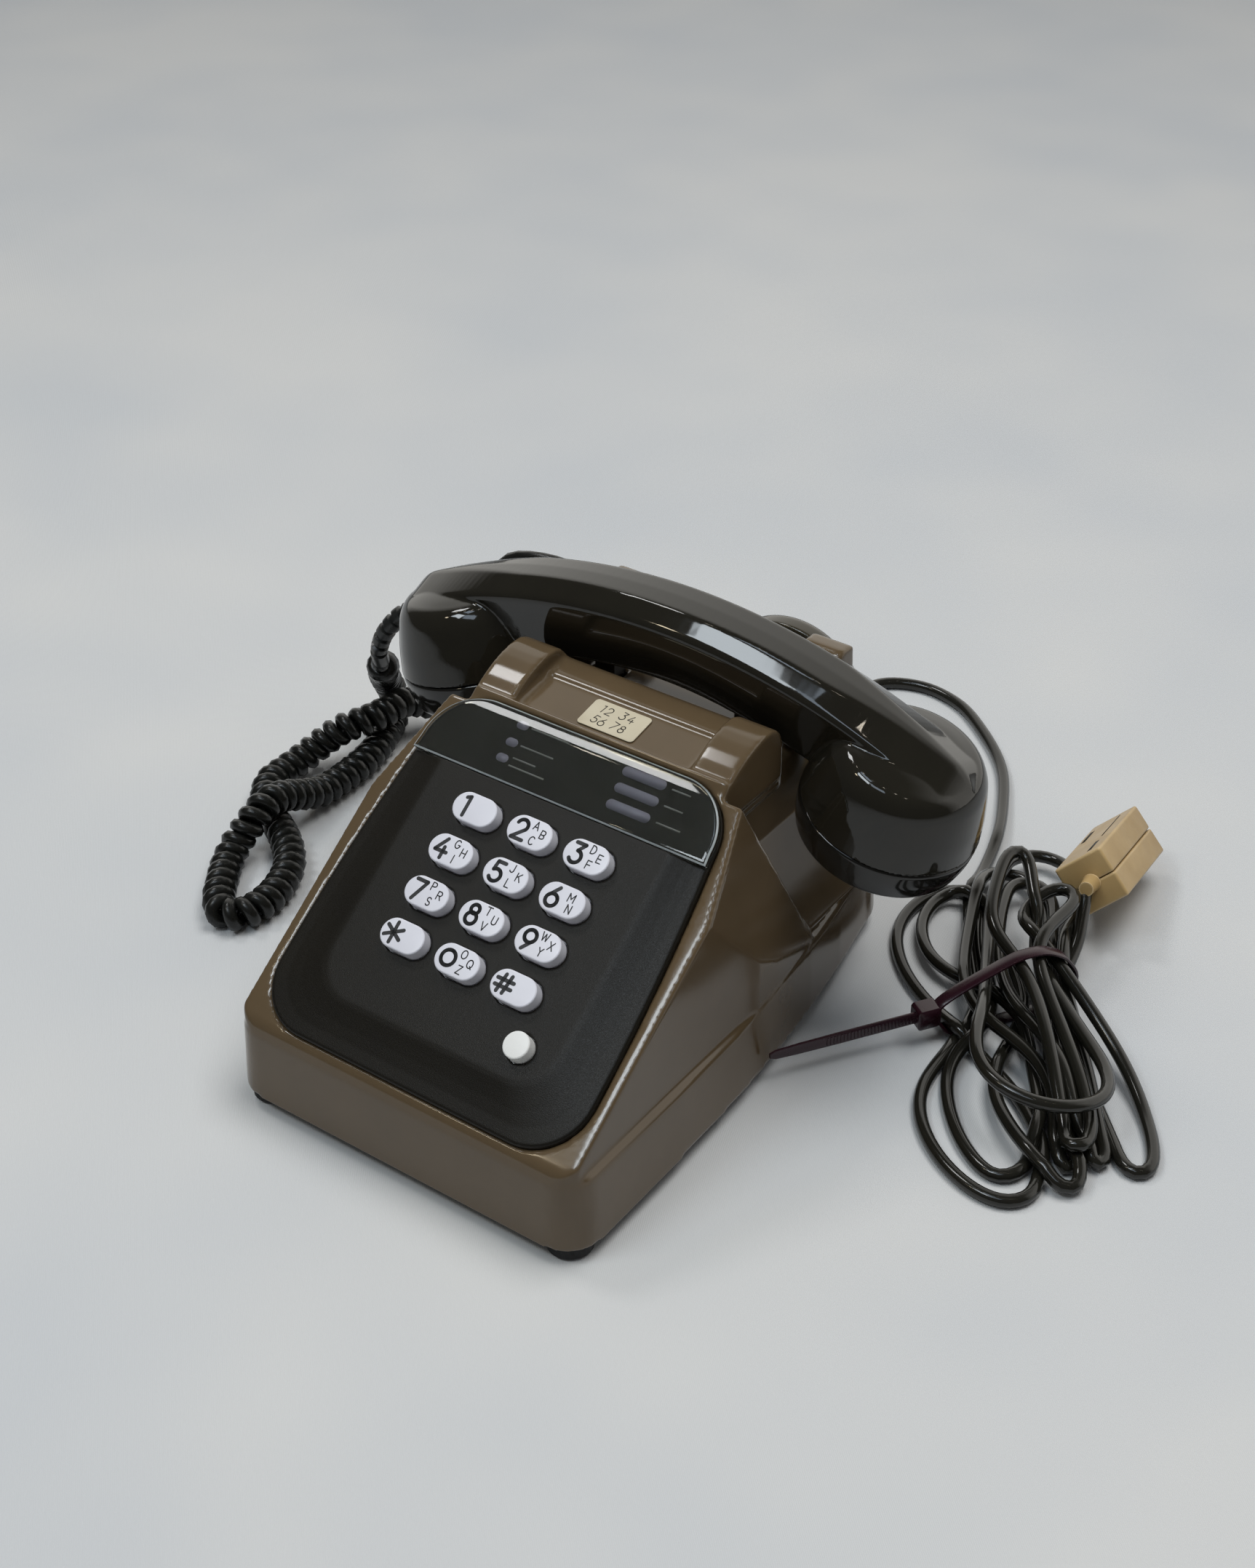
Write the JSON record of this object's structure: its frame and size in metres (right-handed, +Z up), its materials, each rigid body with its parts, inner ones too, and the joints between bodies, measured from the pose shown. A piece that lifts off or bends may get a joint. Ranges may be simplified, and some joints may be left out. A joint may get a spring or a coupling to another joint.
{
  "type": "pushbutton desk telephone with cradle handset",
  "caption": "Brown pushbutton desk telephone with a black cradle handset on a curly cord, a round second earpiece at the rear and a bundled line cord.",
  "frame": {"origin": "on the table under the middle of the telephone, measured without its free cords", "axes": "+Z up, +X to the telephone's right along the handset, -Y towards the keypad's front edge"},
  "size_m": [0.3748, 0.3468, 0.139],
  "materials": {
    "case": "glossy warm brown, lightly rubbed at the edges",
    "plate": "fine-grained satin dark grey",
    "handset": "very glossy near-black",
    "cap": "glossy black",
    "key": "satin off-white",
    "window": "clear",
    "card": "printed card",
    "sticker": "matt cream paper",
    "rubber": "matt",
    "board": "resin board",
    "steel": "plain",
    "floor": "moulded",
    "aluminium": "plain",
    "bell": "nickelled",
    "copper": "wound wire",
    "capacitor": "lacquered",
    "cord_black": "satin",
    "cord_grey": "satin",
    "tie": "dark maroon",
    "plug": "aged beige"
  },
  "bodies": {
    "telephone": {"case_shell": "case", "base_plate": "floor", "foot_front_left": "rubber", "foot_front_right": "rubber", "foot_rear_left": "rubber", "foot_rear_right": "rubber", "keypad_plate": "plate", "label_window": "window", "label_card": "card", "number_sticker": "sticker", "key_mat": "rubber", "keypad_board": "board", "hook_switch": "cap", "ringer_frame": "steel", "ringer_coil": "copper", "gong_left": "bell", "gong_right": "bell", "circuit_board": "board", "transformer": "steel", "capacitor": "capacitor", "terminal_block": "cap", "earpiece_cradle": "case", "handset_cord_grommet": "cap", "earpiece_cord_grommet": "cap", "line_cord_grommet": "cap", "handset_cord": "cord_black", "handset_cord_tail": "cord_black", "earpiece_cord": "cord_black", "line_cord": "cord_grey", "line_cord_bundle": "cord_grey", "cable_tie": "tie", "plug_body": "plug", "plug_cover": "plug"},
    "handset": {"handset_shell": "handset", "ear_cap": "cap", "mouth_cap": "cap", "receiver_capsule": "aluminium", "transmitter_capsule": "aluminium", "handset_cord_boot": "cord_black"},
    "second_earpiece": {"earpiece_shell": "handset", "earpiece_cap": "cap", "earpiece_capsule": "aluminium"},
    "plunger_right": {"hook_plunger_right": "cap"},
    "plunger_left": {"hook_plunger_left": "cap"},
    "lever": {"hook_lever": "steel"},
    "clapper": {"bell_clapper": "steel"},
    "key_1": {"key_1": "key"},
    "key_2": {"key_2": "key"},
    "key_3": {"key_3": "key"},
    "key_4": {"key_4": "key"},
    "key_5": {"key_5": "key"},
    "key_6": {"key_6": "key"},
    "key_7": {"key_7": "key"},
    "key_8": {"key_8": "key"},
    "key_9": {"key_9": "key"},
    "key_star": {"key_star": "key"},
    "key_0": {"key_0": "key"},
    "key_hash": {"key_hash": "key"},
    "recall": {"recall_button": "key"}
  },
  "joints": [
    {"name": "handset_lift", "type": "slide", "parent": "telephone", "child": "handset", "axis": [0, 0, 1], "range_m": [0, 0.12]},
    {"name": "earpiece_lift", "type": "slide", "parent": "telephone", "child": "second_earpiece", "axis": [0, 0, 1], "range_m": [0, 0.06]},
    {"name": "plunger_right_rise", "type": "slide", "parent": "telephone", "child": "plunger_right", "axis": [0, 0, 1], "range_m": [0, 0.0048]},
    {"name": "plunger_left_rise", "type": "slide", "parent": "telephone", "child": "plunger_left", "axis": [0, 0, 1], "range_m": [0, 0.0048]},
    {"name": "lever_tilt", "type": "hinge", "parent": "telephone", "child": "lever", "pos_m": [0, 0.0735, 0.087], "axis": [-1, 0, 0], "range_deg": [0, 9]},
    {"name": "clapper_swing", "type": "hinge", "parent": "telephone", "child": "clapper", "pos_m": [0, 0.0255, 0.031], "axis": [0, 0, 1], "range_deg": [-2.4, 2.4]},
    {"name": "key_1_press", "type": "slide", "parent": "telephone", "child": "key_1", "axis": [0, 0.5741, -0.8188], "range_m": [0, 0.0028], "stiffness_N_per_m": 260, "springref_m": -0.0012},
    {"name": "key_2_press", "type": "slide", "parent": "telephone", "child": "key_2", "axis": [0, 0.5741, -0.8188], "range_m": [0, 0.0028], "stiffness_N_per_m": 260, "springref_m": -0.0012},
    {"name": "key_3_press", "type": "slide", "parent": "telephone", "child": "key_3", "axis": [0, 0.5741, -0.8188], "range_m": [0, 0.0028], "stiffness_N_per_m": 260, "springref_m": -0.0012},
    {"name": "key_4_press", "type": "slide", "parent": "telephone", "child": "key_4", "axis": [0, 0.5741, -0.8188], "range_m": [0, 0.0028], "stiffness_N_per_m": 260, "springref_m": -0.0012},
    {"name": "key_5_press", "type": "slide", "parent": "telephone", "child": "key_5", "axis": [0, 0.5741, -0.8188], "range_m": [0, 0.0028], "stiffness_N_per_m": 260, "springref_m": -0.0012},
    {"name": "key_6_press", "type": "slide", "parent": "telephone", "child": "key_6", "axis": [0, 0.5741, -0.8188], "range_m": [0, 0.0028], "stiffness_N_per_m": 260, "springref_m": -0.0012},
    {"name": "key_7_press", "type": "slide", "parent": "telephone", "child": "key_7", "axis": [0, 0.5741, -0.8188], "range_m": [0, 0.0028], "stiffness_N_per_m": 260, "springref_m": -0.0012},
    {"name": "key_8_press", "type": "slide", "parent": "telephone", "child": "key_8", "axis": [0, 0.5741, -0.8188], "range_m": [0, 0.0028], "stiffness_N_per_m": 260, "springref_m": -0.0012},
    {"name": "key_9_press", "type": "slide", "parent": "telephone", "child": "key_9", "axis": [0, 0.5741, -0.8188], "range_m": [0, 0.0028], "stiffness_N_per_m": 260, "springref_m": -0.0012},
    {"name": "key_star_press", "type": "slide", "parent": "telephone", "child": "key_star", "axis": [0, 0.5741, -0.8188], "range_m": [0, 0.0028], "stiffness_N_per_m": 260, "springref_m": -0.0012},
    {"name": "key_0_press", "type": "slide", "parent": "telephone", "child": "key_0", "axis": [0, 0.5741, -0.8188], "range_m": [0, 0.0028], "stiffness_N_per_m": 260, "springref_m": -0.0012},
    {"name": "key_hash_press", "type": "slide", "parent": "telephone", "child": "key_hash", "axis": [0, 0.5741, -0.8188], "range_m": [0, 0.0028], "stiffness_N_per_m": 260, "springref_m": -0.0012},
    {"name": "recall_press", "type": "slide", "parent": "telephone", "child": "recall", "axis": [0, 0.5741, -0.8188], "range_m": [0, 0.0028], "stiffness_N_per_m": 260, "springref_m": -0.0012}
  ],
  "couplings": [
    {"joint": "plunger_right_rise", "follows": "handset_lift", "ratio": 0.04},
    {"joint": "plunger_left_rise", "follows": "handset_lift", "ratio": 0.04},
    {"joint": "lever_tilt", "follows": "handset_lift", "rad_per_m": 1.3}
  ]
}
